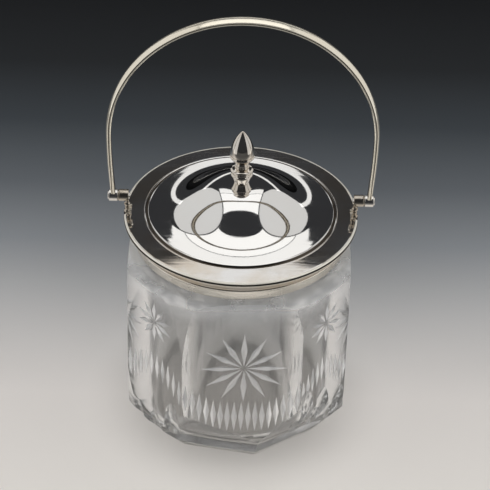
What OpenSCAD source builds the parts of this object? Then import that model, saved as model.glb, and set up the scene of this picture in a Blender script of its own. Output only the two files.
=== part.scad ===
// Cut-glass biscuit jar with silver-plated collar, bail handle and lift-off lid.
// Millimetres. Origin at the centre of the foot, +Z up, handle pivots along X, front at -Y.

/* [Glass jar] */
// Height of the glass, from the foot to the rim of the mouth
jar_height = 121; // [115:1:130]
// Greatest radius of the glass, at the corners of the belly
belly_r = 65.2; // [63.6:0.2:68]
// Height of the widest part of the belly
belly_z = 60; // [52:1:68]
// Radius of the long curve of the belly wall
belly_curve_r = 370; // [300:10:450]
// How far below the rim of the mouth the belly turns in to the shoulder
neck_h = 17; // [15:1:20]
// Radius of the shoulder's turn
shoulder_curve_r = 6; // [4:0.5:6.5]
// Wall of the neck, inside the collar
neck_wall = 5; // [4:0.25:6]
// Inner radius of the jar below the neck
inside_r = 50.5; // [48:0.25:52]
// Thickness of the glass under the inside of the jar
floor_thick = 10; // [7:0.5:14]
// Radius of the turn between the inside wall and the inside floor
floor_turn_r = 12; // [8:1:16]

/* [Cut panels] */
// Distance from the axis to each of the four wide flat panels
wide_panel_d = 56.8; // [55:0.2:59]
// Distance from the axis to each of the four narrow corner panels
corner_panel_d = 61.8; // [60.5:0.2:63.5]
// Turn of the front and back panels away from square to the handle's line
panel_turn = 3.5; // [0:0.5:6]
// Turn of the two side panels
side_panel_turn = -0.5; // [-2:0.5:3]
// Radius of the eight-sided foot, to its corners
foot_r = 48; // [44:0.5:51]
// How far the front and back foot facets lean out for each millimetre of height
foot_lean = 0.5; // [0.44:0.02:0.6]
// How far the foot facets at the two sides lean out for each millimetre of height
side_foot_lean = 0.95; // [0.8:0.05:1.1]
// Number of facets round the foot
foot_facets = 8; // [8:1:10]
// Turn of the foot's corners away from the handle's line
foot_turn = 12; // [8:1:16]
// Radius of the shallow hollow ground under the foot
foot_hollow_r = 36; // [28:1:40]
// Depth of the hollow under the foot
foot_hollow_depth = 1.2; // [0.6:0.2:2]

/* [Cut stars] */
// How far the large stars' centres lie below the shoulder's turn
big_star_drop = 36; // [32:0.5:39]
// Length of each ray of a large star
big_ray = 22.5; // [18:0.5:24]
// Number of rays of a large star
big_ray_count = 12; // [8:1:14]
// How far the small stars' centres lie below the shoulder's turn
small_star_drop = 16.5; // [14:0.5:19]
// Length of each ray of a small star
small_ray = 12; // [9:0.5:13]
// Number of rays of a small star
small_ray_count = 10; // [8:1:12]
// Radius of the uncut spot at a star's centre
star_eye = 1.2; // [0.8:0.1:2]
// Depth of the star cuts
star_depth = 1; // [0.5:0.1:1.4]

/* [Cut flutes] */
// Number of pointed flutes across each wide panel
wide_flutes = 17; // [13:1:17]
// Number of pointed flutes across each corner panel
corner_flutes = 10; // [7:1:10]
// Depth of the flutes
flute_depth = 0.7; // [0.4:0.1:1]
// Width of a flute
flute_w = 3; // [2:0.1:3.2]
// Height of the flutes' tips at the middle of a wide panel
flute_tip_z = 46; // [44:0.5:48]
// Height of the flutes' feet at the middle of a wide panel
flute_foot_z = 25.5; // [24:0.5:30]
// How far the flutes' tips climb from a wide panel to a corner
flute_tip_climb = 21; // [16:1:22]
// How far the flutes' feet climb from a wide panel to a corner
flute_foot_climb = 25; // [20:1:27]

/* [Corner leaf cuts] */
// Number of hollow leaf cuts fanned out at the foot of each corner
leaf_count = 3; // [1:2:3]
// Angle round the jar between one leaf cut and the next, in degrees
leaf_spread = 11; // [9:0.5:12]
// Radius of the long curve of a leaf cut
leaf_r = 170; // [120:10:220]
// Radius across a leaf cut
leaf_edge_r = 5; // [4:0.5:6]
// Depth of a leaf cut
leaf_depth = 2.2; // [1.4:0.1:2.4]
// Height of the middle of the leaf cuts
leaf_z = 20; // [18:0.5:22]
// Lean of the leaf cuts away from upright, in degrees
leaf_lean = 15; // [12:1:18]

/* [Collar] */
// Radius of the collar's rim and of the lid
rim_r = 60; // [59:0.25:62]
// Height of the collar's flat seat, on which the lid rests, above the rim of the glass
seat_rise = 3; // [2.5:0.25:5]
// Thickness of the collar's rim plate
rim_thick = 1.2; // [0.8:0.1:1.6]
// How far the rim stands out past the collar's band
rim_overhang = 4.5; // [4:0.1:5.2]
// How much the band draws in towards its lower edge
band_taper = 0.8; // [0:0.1:1]
// Wall of the band at its lower edge
band_wall = 1.7; // [1.2:0.1:2.2]
// Thickness of the plaster between the band and the neck
plaster_w = 1.5; // [1:0.25:3]
// How far the band reaches down below the rim of the glass
band_drop = 10; // [8:0.25:10.5]
// Height of the hollow moulding between the band and the rim
cove_h = 4.6; // [3:0.2:6]

/* [Lid] */
// Gauge of the lid's metal
lid_gauge = 1; // [0.7:0.1:1.4]
// Width of the flat flange round the dome
flange_w = 12.8; // [11:0.2:14.4]
// Height of the dome above its step
dome_h = 17.4; // [14:0.2:19]
// Share of the dome's height in its steep part, above the spreading foot
dome_steep = 0.8; // [0.7:0.01:0.85]
// Rise of the flange from its edge to the dome's step
flange_rise = 1; // [0.6:0.1:2]
// Height of the step round the dome
step_h = 0.6; // [0.4:0.1:1.4]
// Width of the flat band of the flange that rests on the collar
land_w = 3; // [2:0.25:3.5]
// Clearance of the locating ring under the lid in the glass's mouth
ring_play = 1.5; // [1.3:0.1:3]
// Wall of the locating ring
ring_wall = 1.2; // [0.8:0.1:1.6]
// How far the locating ring reaches below the collar's seat
ring_drop = 7; // [4:0.5:10]
// Width of the notch in the flange at each handle post
notch_w = 8.5; // [7.5:0.25:10]
// Depth of the notch
notch_depth = 4; // [3.75:0.05:4.5]

/* [Handle posts and pivots] */
// How far each post's axis stands inside the collar's rim
post_inset = 1.7; // [1.5:0.05:1.9]
// Radius of the post's foot and beads
post_r = 1.65; // [1.4:0.05:1.7]
// Height of the pivots above the collar's seat
pivot_h = 9.9; // [8:0.1:11]
// Outer diameter of the pivot barrels
barrel_d = 6.2; // [5.4:0.1:6.6]
// Length of the post's barrel
lug_barrel_len = 5; // [4.4:0.1:5.6]
// Length of the handle's barrel
knuckle_len = 4.5; // [4.2:0.1:5.5]
// How far each barrel starts inside its post's axis
barrel_inset = 0.9; // [0.7:0.05:1.1]
// Diameter of the pivot pin
pin_d = 2.4; // [1.8:0.1:3]
// Radial running clearance of the handle's barrel on its pin
pin_play = 0.07; // [0.03:0.01:0.09]
// Thickness of the washer between the two barrels
washer_thick = 0.4; // [0.3:0.05:0.6]
// Diameter of the pin's round head
pin_head_d = 4.6; // [4:0.1:5.2]
// Height of the pin's round head
pin_head_h = 0.9; // [0.6:0.1:1.2]

/* [Bail handle] */
// Radius of the arch, to the middle of the band
arch_r = 67.1; // [66.4:0.1:69]
// Height of the arch's centre above the pivots
arch_rise = 37.8; // [34:0.5:42]
// Width of the handle's band, front to back
handle_w = 6.4; // [5:0.1:6.6]
// Thickness of the handle's band in its middle
handle_thick = 2.5; // [2:0.1:3]
// Thickness of the handle's band at its edges
handle_edge = 1.5; // [1:0.1:1.8]

/* [Finial] */
// Radius of the finial's foot
finial_foot_r = 4.5; // [4:0.1:5]
// Height of the finial's turned base
finial_base_h = 9.2; // [8:0.2:12]
// Radius of the base's disc
finial_disc_r = 5.8; // [5.2:0.1:6.4]
// Radius of the finial's neck
finial_neck_r = 3.7; // [3.3:0.1:4]
// Height of the neck and cup under the acorn
finial_cup_h = 6.2; // [5:0.2:7.5]
// Greatest radius of the acorn
acorn_r = 6.3; // [5.6:0.1:7]
// Height of the acorn above its cup
acorn_h = 15.6; // [13:0.2:18]
// Diameter of the stud that holds the finial
stud_d = 3; // [2.4:0.1:3.6]
// Thickness of the washer under the lid
finial_washer_thick = 0.8; // [0.5:0.1:1.2]
// Radius of the washer under the lid
finial_washer_r = 4.5; // [4:0.1:5.5]
// Width of the nut across its flats
nut_flats = 5.5; // [5:0.1:7]
// Height of the nut
nut_h = 2.4; // [1.8:0.1:3]

/* [Hidden] */
$fn = 96;

silver = [0.87, 0.85, 0.80];
bright_silver = [0.93, 0.92, 0.88];
glass = [0.80, 0.84, 0.84, 0.45];
plaster = [0.90, 0.88, 0.83];

fit_gap = 0.05;         // gap between parts that are pressed, cemented or brazed together
side_play = 0.1;        // gap beside each moving barrel
far = 320;              // longer than anything that is cut
bite = 5;               // how far a cutter stands out of what it cuts

// The collar's width follows its rim, and the neck, the mouth and the lid's ring follow the collar
band_r = rim_r - rim_overhang;
band_inner_r = band_r - band_taper - band_wall;
neck_r = band_inner_r - plaster_w;
mouth_r = neck_r - neck_wall;
collar_mouth_r = mouth_r + 0.5;
spigot_r = band_inner_r + (band_r - band_inner_r) / 2;

// Heights round the mouth follow the height of the glass
shoulder_z = jar_height - neck_h;
big_star_z = shoulder_z - big_star_drop;
small_star_z = shoulder_z - small_star_drop;
seat_z = jar_height + seat_rise;
band_foot_z = jar_height - band_drop;
collar_under_z = seat_z - rim_thick;
cove_foot_z = collar_under_z - cove_h;

facet_a = 360 / foot_facets;
foot_flat_d = foot_r * cos(facet_a / 2);

dome_r = rim_r - flange_w;
dome_brow = 0.93;       // where the dome's steep part begins, as a share of its radius
dome_spread = 0.84;     // width of the steep part, as a share of the dome's radius
flange_top_z = seat_z + lid_gauge;
step_foot_z = flange_top_z + flange_rise;
dome_foot_z = step_foot_z + step_h;
dome_flat_r = finial_foot_r + 0.1;
// An S-shaped rise from 0 to 1, level at both ends
function ease(t) = let (u = max(0, min(1, t))) u - sin(360 * u) / (2 * PI);
function dome_z(r) = dome_foot_z + dome_h * (dome_steep * ease((dome_brow - r / dome_r) / dome_spread)
                                             + (1 - dome_steep) * (1 - pow(r / dome_r, 2)));
crown_z = dome_z(dome_flat_r);
function flange_z(r) = flange_top_z + flange_rise * (rim_r - r) / (rim_r - dome_r);
ring_r = mouth_r - ring_play;
ring_top_z = dome_z(ring_r + lid_gauge / 2) - lid_gauge - fit_gap;
ring_foot_z = seat_z - ring_drop;
notch_floor_r = rim_r - notch_depth;

pivot_z = seat_z + pivot_h;
post_x = rim_r - post_inset;
barrel_start_x = post_x - barrel_inset;
washer_x = barrel_start_x + lug_barrel_len + fit_gap;
knuckle_x = washer_x + washer_thick + side_play;
pin_head_x = knuckle_x + knuckle_len + side_play;
knuckle_mid_x = knuckle_x + knuckle_len / 2;

// Each leg bends from the foot of the arch to the middle of its barrel
arch_z = pivot_z + arch_rise;
leg_draw = arch_r - knuckle_mid_x;
leg_curve_r = (arch_rise * arch_rise + leg_draw * leg_draw) / (2 * max(abs(leg_draw), 0.05));

finial_z = crown_z;
finial_neck_z = finial_z + finial_base_h;
cup_top_z = finial_neck_z + finial_cup_h;
lid_under_z = crown_z - lid_gauge;
stud_top_z = finial_neck_z + finial_cup_h;
stud_r = stud_d / 2;
washer_under_z = lid_under_z - finial_washer_thick;
nut_under_z = washer_under_z - nut_h;
stud_foot_z = nut_under_z - 0.6;

// Points of an arc, from angle a0 to angle a1
function arc(cx, cz, r, a0, a1, steps) =
    [for (i = [0 : steps]) let (a = a0 + (a1 - a0) * i / steps) [cx + r * cos(a), cz + r * sin(a)]];

// Centre of the long belly curve, and of the shoulder's turn that runs on from it
belly_cx = belly_r - belly_curve_r;
shoulder_a = asin((shoulder_z - belly_z) / belly_curve_r);
shoulder_cx = belly_cx + (belly_curve_r - shoulder_curve_r) * cos(shoulder_a);
shoulder_cz = belly_z + (belly_curve_r - shoulder_curve_r) * sin(shoulder_a);
shoulder_top_z = shoulder_cz + shoulder_curve_r;
belly_foot_a = asin(-belly_z / belly_curve_r);

// ---- Glass jar: a blown round blank, cut with flat panels, facets, stars, flutes and leaves ----

module jar_blank() {
    rotate_extrude()
        polygon(concat(
            [[0, 0]],
            arc(belly_cx, belly_z, belly_curve_r, belly_foot_a, shoulder_a, 10),
            arc(shoulder_cx, shoulder_cz, shoulder_curve_r, shoulder_a, 90, 5),
            [[neck_r, shoulder_top_z], [neck_r, jar_height], [0, jar_height]]));
}

module jar_inside() {
    neck_turn_z = shoulder_z + shoulder_curve_r;
    inside_top_z = neck_turn_z - (inside_r - mouth_r) * 1.5;
    rotate_extrude()
        polygon(concat(
            [[0, floor_thick]],
            arc(inside_r - floor_turn_r, floor_thick + floor_turn_r, floor_turn_r, -90, 0, 5),
            [[inside_r, inside_top_z], [mouth_r, neck_turn_z],
             [mouth_r, jar_height + bite], [0, jar_height + bite]]));
}

// A block whose inner face is a flat at distance d from the axis, leaning out by lean
module flat_cutter(turn, d, lean) {
    rotate([0, 0, turn - 90])
        translate([d, 0, 0])
            rotate([0, atan(lean), 0])
                translate([0, -far / 2, -far / 2])
                    cube([far, far, far]);
}

// Azimuths of the four wide panels, and of the corner panel after each
function wide_az(i) = 90 * i + (i % 2 == 0 ? panel_turn : side_panel_turn);
function corner_az(i) = 90 * i + 45 + (panel_turn + side_panel_turn) / 2;

module panel_cuts() {
    for (i = [0 : 3]) {
        flat_cutter(wide_az(i), wide_panel_d, 0);
        flat_cutter(corner_az(i), corner_panel_d, 0);
    }
}

// Azimuth and lean of a foot facet: the steeper lean is for those that look out to the sides
function facet_az(i) = foot_turn + facet_a * (i + 0.5);
function facet_lean(i) = abs(sin(facet_az(i))) > 0.7 ? side_foot_lean : foot_lean;

module foot_cuts() {
    for (i = [0 : foot_facets - 1])
        flat_cutter(facet_az(i), foot_flat_d, facet_lean(i));
}

// A straight V cut with a level bottom edge along X, half_w wide each way at the surface
module vee(half_w, depth, len) {
    translate([-len / 2, 0, 0])
        rotate([90, 0, 90])
            linear_extrude(len)
                polygon([[-half_w * 2, depth], [half_w * 2, depth], [0, -depth]]);
}

// A pointed cut, sunk along -Z into the plane z = 0 and lying along X, deepest in its middle
module lancet(len, width, depth) {
    lean = atan(width / len);
    half_w = len / 2 * sin(lean);
    intersection() {
        rotate([0, 0, lean]) vee(half_w, depth, len * 2);
        rotate([0, 0, -lean]) vee(half_w, depth, len * 2);
    }
}

// Puts a cut on a face that looks out along azimuth turn, at distance d and height z
module on_face(turn, d, z) {
    rotate([0, 0, turn])
        translate([0, -d, z])
            rotate([90, 0, 0])
                children();
}

module star(ray, count, ray_w) {
    for (i = [0 : count - 1])
        rotate([0, 0, 90 + 360 * i / count])
            translate([star_eye + (ray - star_eye) / 2, 0, 0])
                lancet(ray - star_eye, ray_w, star_depth);
}

module star_cuts() {
    for (i = [0 : 3]) {
        on_face(wide_az(i), wide_panel_d, big_star_z)
            star(big_ray, big_ray_count, big_ray / 5.5);
        on_face(corner_az(i), corner_panel_d, small_star_z)
            star(small_ray, small_ray_count, small_ray / 4);
    }
}

// Share of the climb, 0 at a wide panel's middle and 1 at a corner's middle
function climb(a) = let (t = max(0, min(1, (a - 9) / 36))) t * t * (3 - 2 * t);
// Angle from the middle of the nearest wide panel
function from_wide(az) = min([for (i = [-1 : 4]) abs(az - wide_az(i))]);
// Angle from a wide panel's middle to its arris with a corner panel that looks out a degrees away
function arris_a(a) = atan((corner_panel_d / wide_panel_d - cos(a)) / sin(a));

// A row of flutes across a face whose arrises lie left_a and right_a degrees from its middle
module flute_row(az, d, left_a, right_a, count) {
    pitch = d * (tan(left_a) + tan(right_a)) / count;
    for (k = [0 : count - 1]) {
        x = pitch * (k + 0.5) - d * tan(left_a);
        share = climb(from_wide(az + atan(x / d)));
        tip_z = flute_tip_z + flute_tip_climb * share;
        toe_z = flute_foot_z + flute_foot_climb * share;
        on_face(az, d, (tip_z + toe_z) / 2)
            translate([x, 0, 0])
                rotate([0, 0, 90])
                    lancet(tip_z - toe_z, flute_w, flute_depth);
    }
}

module flute_cuts() {
    for (i = [0 : 3]) {
        before_a = wide_az(i) - corner_az(i - 1);
        after_a = corner_az(i) - wide_az(i);
        next_a = wide_az(i + 1) - corner_az(i);
        flute_row(wide_az(i), wide_panel_d, arris_a(before_a), arris_a(after_a), wide_flutes);
        flute_row(corner_az(i), corner_panel_d, after_a - arris_a(after_a), next_a - arris_a(next_a),
                  corner_flutes);
    }
}

// Distance from the axis to the cut outside along azimuth az, a degrees from a corner panel's middle
function corner_r(az, a, z) = min(concat(
    [corner_panel_d / cos(a)],
    [for (i = [0 : foot_facets - 1]) let (c = cos(az - facet_az(i)))
        c > 0.5 ? (foot_flat_d + facet_lean(i) * z) / c : far]));

// A leaf cut: the rounded edge of a large wheel, sunk into a corner a degrees from its middle
module leaf(corner, a) {
    az = corner_az(corner) + a;
    rotate([0, 0, az])
        translate([0, -corner_r(az, a, leaf_z), leaf_z])
            rotate([leaf_lean, 0, 0])
                translate([0, -leaf_r + leaf_depth, 0])
                    rotate([0, 90, 0])
                        rotate_extrude()
                            translate([leaf_r - leaf_edge_r, 0]) circle(leaf_edge_r);
}

module leaf_cuts() {
    for (i = [0 : 3])
        for (k = [0 : leaf_count - 1])
            leaf(i, leaf_spread * (k - (leaf_count - 1) / 2));
}

module glass_jar() {
    color(glass)
        difference() {
            jar_blank();
            panel_cuts();
            foot_cuts();
            jar_inside();
            translate([0, 0, -bite]) cylinder(r = foot_hollow_r, h = bite + foot_hollow_depth);
            star_cuts();
            flute_cuts();
            leaf_cuts();
        }
}

// ---- Collar: cemented on the neck ----

module plaster_bed() {
    color(plaster)
        rotate_extrude()
            polygon([
                [neck_r + fit_gap, band_foot_z + 1.5], [band_inner_r - fit_gap, band_foot_z + 1.5],
                [band_inner_r - fit_gap, collar_under_z], [collar_mouth_r + 0.5, collar_under_z],
                [collar_mouth_r + 0.5, jar_height + fit_gap], [neck_r + fit_gap, jar_height + fit_gap]]);
}

module collar_band() {
    color(silver)
        rotate_extrude()
            polygon([
                [band_inner_r, band_foot_z], [band_r - band_taper, band_foot_z],
                [band_r, cove_foot_z], [spigot_r, cove_foot_z],
                [spigot_r, collar_under_z], [band_inner_r, collar_under_z]]);
}

module collar_rim() {
    lip_r = rim_thick / 2;
    cove_r = rim_r - lip_r - band_r;
    color(silver)
        rotate_extrude()
            union() {
                translate([rim_r - lip_r, seat_z - lip_r]) circle(lip_r);
                translate([collar_mouth_r, collar_under_z])
                    square([rim_r - lip_r - collar_mouth_r, rim_thick]);
                polygon(concat(
                    [[spigot_r + fit_gap, collar_under_z + lip_r], [spigot_r + fit_gap, cove_foot_z],
                     [band_r, cove_foot_z]],
                    [for (i = [1 : 7]) let (a = 180 - 90 * i / 8)
                        [band_r + cove_r + cove_r * cos(a), cove_foot_z + cove_h * sin(a)]],
                    [[rim_r - lip_r, collar_under_z], [rim_r - lip_r, collar_under_z + lip_r]]));
            }
}

// ---- Handle posts and pivots, drawn for the right side and mirrored to the left ----

module barrel(x, len, bore_r) {
    chamfer = 0.4;
    barrel_r = barrel_d / 2;
    translate([x, 0, pivot_z])
        rotate([90, 0, 90])
            rotate_extrude()
                polygon([[bore_r, 0], [barrel_r - chamfer, 0], [barrel_r, chamfer],
                         [barrel_r, len - chamfer], [barrel_r - chamfer, len], [bore_r, len]]);
}

module handle_post() {
    shaft_h = pivot_h - barrel_d / 2;
    color(silver)
        difference() {
            union() {
                translate([post_x, 0, seat_z])
                    rotate_extrude()
                        polygon([[0, 0], [post_r, 0], [post_r, 0.1 * shaft_h], [0.66 * post_r, 0.2 * shaft_h],
                                 [0.8 * post_r, 0.42 * shaft_h], [0.6 * post_r, 0.55 * shaft_h],
                                 [post_r, 0.66 * shaft_h], [post_r, 0.74 * shaft_h],
                                 [0.5 * post_r, 0.84 * shaft_h], [0.5 * post_r, pivot_h], [0, pivot_h]]);
                barrel(barrel_start_x, lug_barrel_len, 0);
            }
            translate([barrel_start_x - bite, 0, pivot_z])
                rotate([0, 90, 0])
                    cylinder(r = pin_d / 2 + fit_gap, h = lug_barrel_len + 2 * bite);
        }
}

module pivot_pin() {
    peen_len = 0.5;
    color(bright_silver)
        translate([0, 0, pivot_z])
            rotate([90, 0, 90])
                rotate_extrude()
                    polygon(concat(
                        [[0, barrel_start_x - fit_gap - peen_len],
                         [pin_d / 2 + 0.3, barrel_start_x - fit_gap - peen_len],
                         [pin_d / 2 + 0.6, barrel_start_x - fit_gap], [pin_d / 2, barrel_start_x - fit_gap],
                         [pin_d / 2, pin_head_x], [pin_head_d / 2, pin_head_x]],
                        [for (i = [1 : 6])
                            [pin_head_d / 2 * cos(15 * i), pin_head_x + pin_head_h * sin(15 * i)]]));
}

module pivot_washer() {
    color(bright_silver)
        translate([washer_x, 0, pivot_z])
            rotate([0, 90, 0])
                difference() {
                    cylinder(r = barrel_d / 2 - 0.4, h = washer_thick);
                    translate([0, 0, -bite]) cylinder(r = pin_d / 2 + fit_gap, h = washer_thick + 2 * bite);
                }
}

module handle_barrel() {
    color(silver) barrel(knuckle_x, knuckle_len, pin_d / 2 + pin_play);
}

// ---- Bail handle: one band, flat inside and domed outside, bent to an arch and brazed to its barrels ----

module band_section() {
    half_w = handle_w / 2;
    dome_sag = handle_thick - handle_edge;
    band_dome_r = (half_w * half_w + dome_sag * dome_sag) / (2 * dome_sag);
    intersection() {
        translate([handle_thick / 2 - band_dome_r, 0]) circle(band_dome_r);
        translate([-handle_thick / 2, -half_w]) square([handle_thick, handle_w]);
    }
}

// The right leg, bent in towards its barrel, or out where the arch is narrower than the barrels
module handle_leg() {
    bend_a = asin((arch_rise + barrel_d / 4) / leg_curve_r);
    if (leg_draw > 0)
        translate([arch_r - leg_curve_r, 0, arch_z])
            rotate([-90, 0, 0])
                rotate_extrude(angle = bend_a)
                    translate([leg_curve_r, 0]) band_section();
    else
        translate([arch_r + leg_curve_r, 0, arch_z])
            mirror([1, 0, 0])
                rotate([-90, 0, 0])
                    rotate_extrude(angle = bend_a)
                        translate([leg_curve_r, 0]) mirror([1, 0]) band_section();
}

module bail_handle() {
    color(silver)
        difference() {
            union() {
                translate([0, 0, arch_z])
                    rotate([90, 0, 0])
                        rotate_extrude(angle = 180)
                            translate([arch_r, 0]) band_section();
                handle_leg();
                mirror([1, 0, 0]) handle_leg();
            }
            translate([-far / 2, 0, pivot_z])
                rotate([0, 90, 0])
                    cylinder(r = barrel_d / 2 + fit_gap, h = far);
            translate([-far / 2, -far / 2, pivot_z - far])
                cube([far, far, far]);
        }
}

// ---- Lid: one spun disc with a flat flange and an ogee dome ----

module lid() {
    dome_steps = 24;
    land_r = rim_r - land_w;
    edge_round = lid_gauge / 2;
    outer = [for (i = [0 : dome_steps]) let (r = dome_r + (dome_flat_r - dome_r) * i / dome_steps)
                [r, dome_z(r)]];
    inner = [for (i = [dome_steps : -1 : 0]) let (r = dome_r + (dome_flat_r - dome_r) * i / dome_steps)
                [max(r - lid_gauge * 0.5 * (dome_steps - i) / dome_steps, dome_flat_r), dome_z(r) - lid_gauge]];
    bore_r = stud_r + fit_gap;
    color(bright_silver)
        difference() {
            rotate_extrude()
                union() {
                    translate([rim_r - edge_round, seat_z + edge_round]) circle(edge_round);
                    polygon(concat(
                        [[bore_r, crown_z]], [[bore_r, lid_under_z]], inner,
                        [[dome_r - lid_gauge * 0.5, flange_z(dome_r) - lid_gauge],
                         [land_r, flange_z(land_r) - lid_gauge], [land_r, seat_z],
                         [rim_r - edge_round, seat_z], [rim_r - edge_round, flange_top_z],
                         [dome_r + 0.4, flange_z(dome_r)]],
                        outer));
                }
            for (side = [0, 180])
                rotate([0, 0, side])
                    translate([notch_floor_r, -notch_w / 2, seat_z - bite])
                        cube([notch_depth + bite, notch_w, 2 * bite]);
        }
}

module lid_locating_ring() {
    color(silver)
        translate([0, 0, ring_foot_z])
            difference() {
                cylinder(r = ring_r, h = ring_top_z - ring_foot_z);
                translate([0, 0, -bite])
                    cylinder(r = ring_r - ring_wall, h = ring_top_z - ring_foot_z + 2 * bite);
            }
}

// ---- Finial and what holds it ----

module finial_base() {
    h = finial_base_h;
    color(bright_silver)
        translate([0, 0, finial_z])
            rotate_extrude()
                polygon([[stud_r + fit_gap, 0], [finial_foot_r - 0.4, 0], [finial_foot_r, 0.12 * h],
                         [finial_foot_r, 0.36 * h], [finial_foot_r * 0.92, 0.46 * h],
                         [finial_foot_r + 0.5, 0.5 * h],
                         [finial_disc_r - 0.3, 0.66 * h], [finial_disc_r, 0.76 * h], [finial_disc_r, 0.84 * h],
                         [finial_disc_r - 0.4, 0.9 * h], [finial_neck_r, h], [stud_r + fit_gap, h]]);
}

module acorn_finial() {
    steps = 14;
    color(bright_silver)
        rotate_extrude()
            polygon(concat(
                [[0, stud_top_z + fit_gap], [stud_r + fit_gap, stud_top_z + fit_gap],
                 [stud_r + fit_gap, finial_neck_z],
                 [finial_neck_r, finial_neck_z], [finial_neck_r - 0.2, finial_neck_z + 0.4 * finial_cup_h],
                 [acorn_r - 1.2, finial_neck_z + 0.66 * finial_cup_h],
                 [acorn_r - 0.3, cup_top_z - 0.6], [acorn_r - 0.3, cup_top_z]],
                [for (i = [0 : steps]) let (t = i / steps)
                    [acorn_r * pow(cos(90 * pow(t, 1.25)), 0.8) * (1 - 0.04 * pow(1 - t, 8)),
                     cup_top_z + acorn_h * t]]));
}

module finial_stud() {
    color(silver)
        translate([0, 0, stud_foot_z])
            cylinder(d = stud_d, h = stud_top_z - stud_foot_z);
}

module finial_washer() {
    color(silver)
        translate([0, 0, washer_under_z])
            difference() {
                cylinder(r = finial_washer_r, h = finial_washer_thick);
                translate([0, 0, -bite]) cylinder(r = stud_r + fit_gap, h = finial_washer_thick + 2 * bite);
            }
}

module finial_nut() {
    color(silver)
        translate([0, 0, nut_under_z])
            difference() {
                cylinder(r = nut_flats / 2 / cos(30), h = nut_h, $fn = 6);
                translate([0, 0, -bite]) cylinder(r = stud_r + fit_gap, h = nut_h + 2 * bite);
            }
}

glass_jar();
plaster_bed();
collar_band();
collar_rim();
mirror([1, 0, 0]) handle_post();  // left_handle_post
handle_post();  // right_handle_post
mirror([1, 0, 0]) pivot_pin();  // left_pivot_pin
pivot_pin();  // right_pivot_pin
mirror([1, 0, 0]) pivot_washer();  // left_pivot_washer
pivot_washer();  // right_pivot_washer
bail_handle();
mirror([1, 0, 0]) handle_barrel();  // left_handle_barrel
handle_barrel();  // right_handle_barrel
lid();
lid_locating_ring();
finial_base();
acorn_finial();
finial_stud();
finial_washer();
finial_nut();
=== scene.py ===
import math

import bmesh
import bpy
from mathutils import Matrix, Vector


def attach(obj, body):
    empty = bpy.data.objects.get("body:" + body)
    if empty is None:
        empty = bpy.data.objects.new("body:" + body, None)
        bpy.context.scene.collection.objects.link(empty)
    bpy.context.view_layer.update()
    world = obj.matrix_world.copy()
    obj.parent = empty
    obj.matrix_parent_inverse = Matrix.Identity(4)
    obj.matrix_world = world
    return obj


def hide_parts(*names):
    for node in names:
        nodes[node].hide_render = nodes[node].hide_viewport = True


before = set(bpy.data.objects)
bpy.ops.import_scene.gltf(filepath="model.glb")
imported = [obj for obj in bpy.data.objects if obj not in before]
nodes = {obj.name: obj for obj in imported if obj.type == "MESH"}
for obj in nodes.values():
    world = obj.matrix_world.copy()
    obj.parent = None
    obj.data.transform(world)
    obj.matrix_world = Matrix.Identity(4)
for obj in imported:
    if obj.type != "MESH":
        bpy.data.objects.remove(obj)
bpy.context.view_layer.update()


# ---------------------------------------------------------------- Glass jar
# One thick blown blank of clear lead glass, cut on the wheel with flat panels, foot facets,
# stars, flutes and leaf cuts, then polished. It stands on the ground ring of its foot.

MM = 0.001
JAR_H, BELLY_R, BELLY_Z, BELLY_CURVE = 121.0, 65.2, 60.0, 370.0
SHOULDER_Z, SHOULDER_TURN, NECK_R = 104.0, 6.0, 51.5
MOUTH_R, INSIDE_R, GLASS_FLOOR, FLOOR_TURN = 46.5, 50.5, 10.0, 12.0
WIDE_D, WIDE_TURNS = 56.8, (3.5, 89.5, 183.5, 269.5)
CORNER_D, CORNER_TURNS = 61.8, (46.5, 136.5, 226.5, 316.5)
FACET_TURNS = [34.5 + 45 * i for i in range(8)]
FOOT_LEAN, SIDE_FOOT_LEAN, SIDEWAYS = 0.5, 0.95, 0.7
FOOT_ARRIS, ARRIS_LEAN = 1.2, 2.4
FOOT_FLAT = 48 * math.cos(math.radians(22.5))
HOLLOW_R, HOLLOW_DEPTH = 36, 1.2
BITE = 5
GLASS_CREASE = 12
BLANK_SIDES, HOLLOW_SIDES = 240, 200

# The finishes of the glass, in the order of its material slots; the inside's slot is fire-polished and
# tinted grey as painted shade.
POLISHED, WHEEL_CUT, FIRE_POLISHED_AND_SHADED, LEAF_CUT = range(4)


def outward(turn):
    """Level direction away from the jar, turned from the front in degrees."""
    return Vector((math.sin(math.radians(turn)), -math.cos(math.radians(turn)), 0))


def arc(r, z, radius, start, end, steps):
    """Points of a round turn of a profile, with angles in degrees."""
    return [(r + radius * math.cos(a), z + radius * math.sin(a))
            for a in (math.radians(start + (end - start) * k / steps) for k in range(steps + 1))]


def turned_mesh(mesh, outline, around=160, place=Matrix.Identity(4)):
    """Spins a closed outline in millimetres round the Z axis, then moves it by place."""
    rings = []
    for r, z in outline:
        if r < 1e-6:
            rings.append([mesh.verts.new(place @ Vector((0, 0, z * MM)))])
            continue
        ring = []
        for k in range(around):
            a = 2 * math.pi * k / around
            point = Vector((r * MM * math.cos(a), r * MM * math.sin(a), z * MM))
            ring.append(mesh.verts.new(place @ point))
        rings.append(ring)
    for i, ring in enumerate(rings):
        after = rings[(i + 1) % len(rings)]
        if len(ring) == 1 and len(after) == 1:
            continue
        for k in range(around):
            n = (k + 1) % around
            corners = [ring[k % len(ring)], ring[n % len(ring)],
                       after[n % len(after)], after[k % len(after)]]
            unique = [c for j, c in enumerate(corners) if c not in corners[:j]]
            mesh.faces.new(unique)
    return mesh


def mesh_piece(name, mesh, sharp=32):
    """Turns the mesh code's result into a piece, smooth but for its real edges."""
    bmesh.ops.recalc_face_normals(mesh, faces=mesh.faces)
    made = bpy.data.meshes.new(name)
    mesh.to_mesh(made)
    mesh.free()
    made.shade_smooth()
    made.set_sharp_from_angle(angle=math.radians(sharp))
    piece = bpy.data.objects.new(name, made)
    bpy.context.scene.collection.objects.link(piece)
    return piece


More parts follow.
